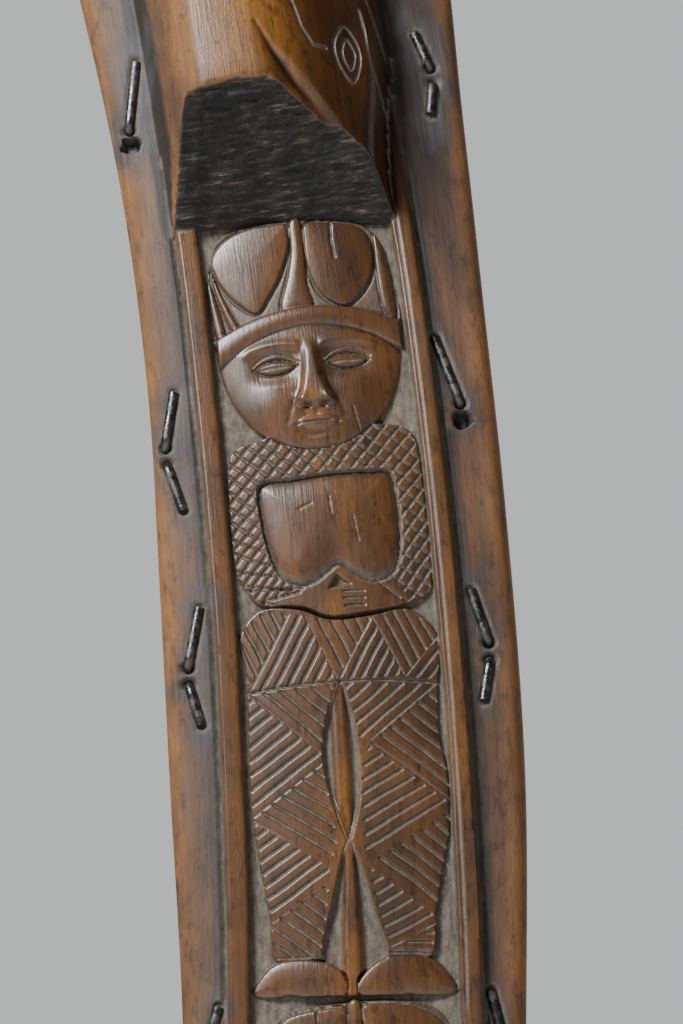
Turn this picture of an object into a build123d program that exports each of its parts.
"""A curved, one-piece carved hardwood knife sheath with an open back and iron wire ties.

The sheath follows one long arc. A place on it is given by three numbers:
  s  millimetres along the arc, from the mouth towards the tip
  t  millimetres across the arc, with plus towards +X
  h  millimetres in front of the flat back
The model stands upright: the mouth is up (+Z), the carved front faces -Y, and the origin is
the middle of the belt-cord hole that runs along X through the raised boss.
"""

from build123d import *
from math import cos, degrees, sin
import os

# The whole sheath
LENGTH = 486.0
BEND_RADIUS = 1250.0
LEVEL_S = 245.0            # where the arc runs straight up and down
GROUND_H = 12.8            # sunk ground of the figure panels
STRIP_H = 14.5             # top of the two raised strips beside the panels
STRIP_IN = 18.8            # inner edge of a strip
STRIP_OUT = 22.7           # outer edge of a strip
FLANGE_H = 11.5            # thickness of the flanges and the tip
WIDEST_HALF = 50.0         # more than half the width anywhere
FRONT_EDGE_RADIUS = 2.5
TIP_CORNER_RADIUS = 9.0
MOUTH_CORNER_RADIUS = 3.0
BACK_EDGE_RADIUS = 1.5

# Outline: (s, t) along each edge, then the furthest point of the rounded tip
LEFT_EDGE = [(0, -37), (70, -34.2), (125, -32.1), (180, -32), (225, -32.6), (280, -31.2),
             (345, -29.2), (390, -29.5), (440, -35), (468, -37)]
RIGHT_EDGE = [(0, 45), (45, 41.5), (86, 38.8), (128, 35.6), (180, 33.7), (240, 32.7),
              (285, 30.6), (345, 28.8), (390, 29.2), (440, 33.5), (466, 35)]
TIP_T = -1.0

# Blade channel, open at the back and at the mouth
CHANNEL_DEPTH = 8.2
CHANNEL_LEFT = [(-4, -21), (150, -20), (300, -17.5), (400, -15)]
CHANNEL_RIGHT = [(-4, 21), (150, 20), (300, 17.5), (400, 15)]
CHANNEL_END_S = 442.0

# Belt boss
BOSS_START_S = 35.0
BOSS_END_S = 130.0
BOSS_HEIGHT = 24.0         # above the panel ground
BOSS_END_LEAN = 0.9        # run along s of the slanted ends, per millimetre of height
BOSS_LEFT_T = -23.3
BOSS_RIGHT_T = 22.0
BOSS_TOP_LEFT_T = -18.3
BOSS_TOP_RIGHT_T = 2.5
BOSS_SHOULDER = (17.5, 13.5)   # (t, height) of the corner low on the right slope
BOSS_RADII = (7.0, 6.0, 6.0)
HOLE_S = 79.0
HOLE_H = 22.0
HOLE_RADIUS = 5.0
HOLE_REACH = 60.0

# Figure panels
PANEL_LENGTH = 150.0
PANEL_STARTS = (130.0, 280.0)
CROSS_STRIP_S = 430.0      # the strip that closes the last panel
CROSS_STRIP_WIDTH = 4.0
FIGURE_TOP_H = 15.6        # crown of the figures' rounded relief
FIGURE_CROWN_RADIUS = 90.0
RELIEF_HALF = 18.4

# One figure, as (distance from the panel's start, t)
HEAD = [(0.6, -2), (1.6, 9.5), (8, 16.8), (28, 17.8), (40, 12.8), (47.2, 1),
        (40, -12.6), (27, -17.9), (7, -16.6), (1.2, -9)]
JACKET = [(45, -11), (49, -17), (62, -17.9), (72, -16.4), (77, -10), (79.3, 2),
          (77, 14), (70, 17.9), (56, 17.9), (47, 16.5), (44.5, 11)]
HIPS = [(80, -9), (83, -18), (93.5, -17.4), (93.5, 17.4), (83, 18.2), (80.2, 10)]
LEFT_LEG = [(93.5, -17.4), (115, -17.8), (142.5, -14), (142.5, -5.8), (121, -1), (106, -4.2), (93.5, -1)]
RIGHT_LEG = [(93.5, 17.4), (115, 18.2), (142.5, 14), (142.5, 5.8), (121, 0.6), (106, 2.4), (93.5, 0)]
LEFT_FOOT = [(143.4, -13.8), (148.4, -18), (149.2, -1.6), (146, -1.8), (143.6, -5.8)]
RIGHT_FOOT = [(143, 13.8), (148.4, 18), (149.2, 1.6), (146, 1.4), (142.8, 5.8)]

# Iron wire ties: s of the holes, t of the left and right holes, how much further along s the
# left hole lies than the right one, and the lengths of the four clenched legs (upper left,
# upper right, lower left, lower right). A leg of 0 has broken off in its hole.
WIRE_RADIUS = 1.0
WIRE_CLEARANCE = 0.15
WIRE_BEND = 2.0
WIRE_PAIR = 3.2            # distance along s between the two wires of a tie
WIRE_BACK_H = -0.6         # centre of the wire where it crosses the open back
LEG_H = 11.3               # centre of a clenched leg, half sunk in its groove
LEG_LEAN = 0.24            # a leg leans this much towards the panel per millimetre of length
STUB_H = 9.1               # where a broken wire ends in its hole
TORN_RADIUS = 1.9
TORN_DEPTH = 3.0
TIES = [
    (15.0, -31.5, 35.5, 2.0, 11.0, 10.5, 9.0, 8.5),
    (58.0, -30.0, 33.5, 3.0, 12.0, 10.0, 8.5, 9.0),
    (105.0, -28.9, 31.5, 4.0, 14.5, 7.5, 0.0, 6.5),
    (173.0, -29.3, 27.2, 3.0, 11.0, 13.5, 9.8, 0.0),
    (218.0, -28.1, 27.7, 1.0, 11.5, 10.0, 8.0, 7.5),
    (292.0, -27.0, 26.8, 1.5, 10.5, 11.0, 8.5, 8.0),
    (345.0, -25.9, 25.7, 2.0, 10.0, 10.5, 8.0, 8.5),
    (402.0, -26.4, 25.9, 1.5, 11.0, 9.5, 8.5, 7.5),
]

HOLE_ANGLE = (LEVEL_S - HOLE_S) / BEND_RADIUS
CENTRE_X = -BEND_RADIUS * cos(HOLE_ANGLE)
CENTRE_Z = -BEND_RADIUS * sin(HOLE_ANGLE)
BEND_AXIS = Axis((CENTRE_X, 0, CENTRE_Z), (0, 1, 0))


def place(s, t, h):
    """The point at s along the sheath, t across it and h in front of its back."""
    angle = (LEVEL_S - s) / BEND_RADIUS
    reach = BEND_RADIUS + t
    return Vector(CENTRE_X + reach * cos(angle), HOLE_H - h, CENTRE_Z + reach * sin(angle))


def bend(outline, start_s, end_s):
    """Carry a closed cross-section, drawn as (t, h) edges, along the arc."""
    section = make_face(outline)
    section = section.moved(Location((CENTRE_X + BEND_RADIUS, HOLE_H, CENTRE_Z)))
    section = section.rotate(BEND_AXIS, degrees((start_s - LEVEL_S) / BEND_RADIUS))
    return revolve(section, BEND_AXIS, degrees((end_s - start_s) / BEND_RADIUS))


def section_points(points):
    """(t, h) pairs as points of the drawing plane, where the front lies towards -Y."""
    return [(t, -h) for t, h in points]


def prism(edges, low_h, high_h):
    """A closed outline drawn on the back plane, given thickness from low_h to high_h."""
    face = make_face(edges).moved(Location((0, -low_h, 0)))
    return extrude(face, amount=high_h - low_h, dir=(0, -1, 0))


def on_back(points):
    return [place(s, t, 0) for s, t in points]


def make_plan():
    """The outline of the whole sheath, drawn on its back."""
    left = Spline(*on_back(LEFT_EDGE))
    right = Spline(*on_back(RIGHT_EDGE))
    mouth = Line(left @ 0, right @ 0)
    tip = ThreePointArc(left @ 1, place(LENGTH, TIP_T, 0), right @ 1)
    plan = make_face([left, right, mouth, tip])
    plan = fillet(plan.vertices().sort_by(Axis.Z)[:2], TIP_CORNER_RADIUS)
    return fillet(plan.vertices().sort_by(Axis.Z)[-2:], MOUTH_CORNER_RADIUS)


def make_blank():
    """The bent board with its flanges, raised strips and sunk panel ground."""
    plan = make_plan()
    board = extrude(plan, amount=FLANGE_H, dir=(0, -1, 0))
    for height, radius in ((0, BACK_EDGE_RADIUS), (FLANGE_H, FRONT_EDGE_RADIUS)):
        rim = [edge for edge in board.edges() if abs((edge @ 0.5).Y - (HOLE_H - height)) < 0.01]
        board = fillet(rim, radius)
    half = [(STRIP_IN, GROUND_H), (STRIP_IN, STRIP_H), (STRIP_OUT, STRIP_H), (STRIP_OUT, 1)]
    left_half = [(-t, h) for t, h in reversed(half)]
    section = Polyline(*section_points(half + left_half), close=True)
    raised = bend(section, -5, CROSS_STRIP_S + CROSS_STRIP_WIDTH)
    return board + (raised & extrude(plan, amount=STRIP_H + 1, dir=(0, -1, 0)))


def make_channel():
    left = Spline(*on_back(CHANNEL_LEFT))
    right = Spline(*on_back(CHANNEL_RIGHT))
    mouth = Line(left @ 0, right @ 0)
    end = ThreePointArc(left @ 1, place(CHANNEL_END_S, 0, 0), right @ 1)
    return prism([left, right, mouth, end], -2, CHANNEL_DEPTH)


def make_boss():
    """The raised belt boss: an uneven dome in section, with both ends sawn off at a slant."""
    top_h = GROUND_H + BOSS_HEIGHT
    foot_h = GROUND_H - 2
    shoulder_t, shoulder_height = BOSS_SHOULDER
    upper = section_points([(BOSS_LEFT_T, foot_h), (BOSS_TOP_LEFT_T, top_h), (BOSS_TOP_RIGHT_T, top_h),
                            (shoulder_t, GROUND_H + shoulder_height), (BOSS_RIGHT_T, foot_h)])
    dome = FilletPolyline(*upper, radius=BOSS_RADII)
    base = Line(dome @ 1, dome @ 0)
    boss = bend([dome, base], BOSS_START_S - 2, BOSS_END_S + 2)
    for end_s, side in ((BOSS_START_S, -1), (BOSS_END_S, 1)):
        boss -= end_cut(end_s, side)
    return boss


def end_cut(end_s, side):
    """A block whose slanted face leans back from the foot of the boss at end_s."""
    away = 40.0
    low = -3.0
    high = BOSS_HEIGHT + 5
    foot = place(end_s, 0, GROUND_H)
    outwards = side * (place(end_s + 0.5, 0, 0) - place(end_s - 0.5, 0, 0)).normalized()

    def corner(height, along):
        return foot + outwards * along - Vector(0, height, 0)

    outline = Polyline(corner(low, -low * BOSS_END_LEAN), corner(high, -high * BOSS_END_LEAN),
                       corner(high, away), corner(low, away), close=True)
    sideways = place(end_s, 1, 0) - place(end_s, 0, 0)
    return extrude(make_face(outline), amount=WIDEST_HALF, dir=sideways, both=True)


def make_belt_hole():
    drill = Cylinder(HOLE_RADIUS, 2 * HOLE_REACH)
    return Rotation(0, 90, 0) * drill


def make_relief():
    """The rounded layer out of which the figures stand, over both panels."""
    edge_h = FIGURE_TOP_H - RELIEF_HALF**2 / (2 * FIGURE_CROWN_RADIUS)
    crown = ThreePointArc(*section_points([(-RELIEF_HALF, edge_h), (0, FIGURE_TOP_H), (RELIEF_HALF, edge_h)]))
    foot = Polyline(*section_points([(RELIEF_HALF, edge_h), (RELIEF_HALF, GROUND_H - 1),
                                     (-RELIEF_HALF, GROUND_H - 1), (-RELIEF_HALF, edge_h)]))
    return bend([crown, foot], PANEL_STARTS[0], CROSS_STRIP_S)


def figure_shapes(start_s):
    """The outlines of one figure as upright prisms: rounded ones, then straight-sided ones."""
    low, high = GROUND_H - 0.5, FIGURE_TOP_H + 1
    shapes = []
    for outline in (HEAD, JACKET):
        points = on_back([(start_s + along, t) for along, t in outline])
        shapes.append(prism(Spline(*points, periodic=True), low, high))
    for outline in (HIPS, LEFT_LEG, RIGHT_LEG, LEFT_FOOT, RIGHT_FOOT):
        points = on_back([(start_s + along, t) for along, t in outline])
        shapes.append(prism(Polyline(*points, close=True), low, high))
    return shapes


def make_cross_strip():
    outline = [(STRIP_IN + 0.5, STRIP_H), (STRIP_IN + 0.5, GROUND_H - 1),
               (-STRIP_IN - 0.5, GROUND_H - 1), (-STRIP_IN - 0.5, STRIP_H)]
    section = Polyline(*section_points(outline), close=True)
    return bend(section, CROSS_STRIP_S, CROSS_STRIP_S + CROSS_STRIP_WIDTH)


def wire_route(tie, lower, spare=0.0):
    """The centre line of one wire: a leg, down a hole, across the back, up, and a leg.

    With spare, the legs run on a little, which gives the cutter for the wire's groove.
    """
    middle_s, left_t, right_t, skew = tie[:4]
    left_leg, right_leg = tie[6:] if lower else tie[4:6]
    way = 1 if lower else -1
    ends = []
    for t, leg, side in ((left_t, left_leg, -1), (right_t, right_leg, 1)):
        s = middle_s - side * skew / 2 + way * WIRE_PAIR / 2
        down = place(s, t, WIRE_BACK_H)
        if leg:
            reach = leg + spare
            top = place(s, t, LEG_H)
            end = place(s + way * reach, t - side * LEG_LEAN * reach, LEG_H)
            ends.append([end, top, down])
        elif spare:
            ends.append([place(s, t, FLANGE_H + 1), down])
        else:
            ends.append([place(s, t, STUB_H), down])
    points = ends[0] + ends[1][::-1]
    return FilletPolyline(*points, radius=WIRE_BEND)


def along_route(route, radius):
    return sweep((route ^ 0) * Circle(radius), path=route)


def torn_mouth(tie, lower):
    """The widened mouths of holes whose wire has broken."""
    middle_s, left_t, right_t, skew = tie[:4]
    legs = tie[6:] if lower else tie[4:6]
    way = 1 if lower else -1
    mouths = []
    for t, leg, side in ((left_t, legs[0], -1), (right_t, legs[1], 1)):
        if not leg:
            s = middle_s - side * skew / 2 + way * WIRE_PAIR / 2
            pit = Circle(TORN_RADIUS)
            pit = Plane(place(s, t, FLANGE_H + 1), z_dir=(0, 1, 0)) * pit
            mouths.append(extrude(pit, amount=TORN_DEPTH + 1))
    return mouths


def make_sheath():
    sheath = make_blank() + make_boss() + make_cross_strip()
    relief = make_relief()
    for start_s in PANEL_STARTS:
        for shape in figure_shapes(start_s):
            sheath += relief & shape
    sheath -= make_channel()
    sheath -= make_belt_hole()
    cutters = []
    for tie in TIES:
        for lower in (False, True):
            groove = wire_route(tie, lower, spare=0.6)
            cutters.append(along_route(groove, WIRE_RADIUS + WIRE_CLEARANCE))
            cutters.extend(torn_mouth(tie, lower))
    return sheath - cutters


def main():
    os.makedirs("parts", exist_ok=True)
    export_step(make_sheath(), "parts/sheath_body.step")
    for number, tie in enumerate(TIES, start=1):
        for lower in (False, True):
            name = f"tie_{number}_{'lower' if lower else 'upper'}_wire"
            wire = along_route(wire_route(tie, lower), WIRE_RADIUS)
            export_step(wire, f"parts/{name}.step")


main()
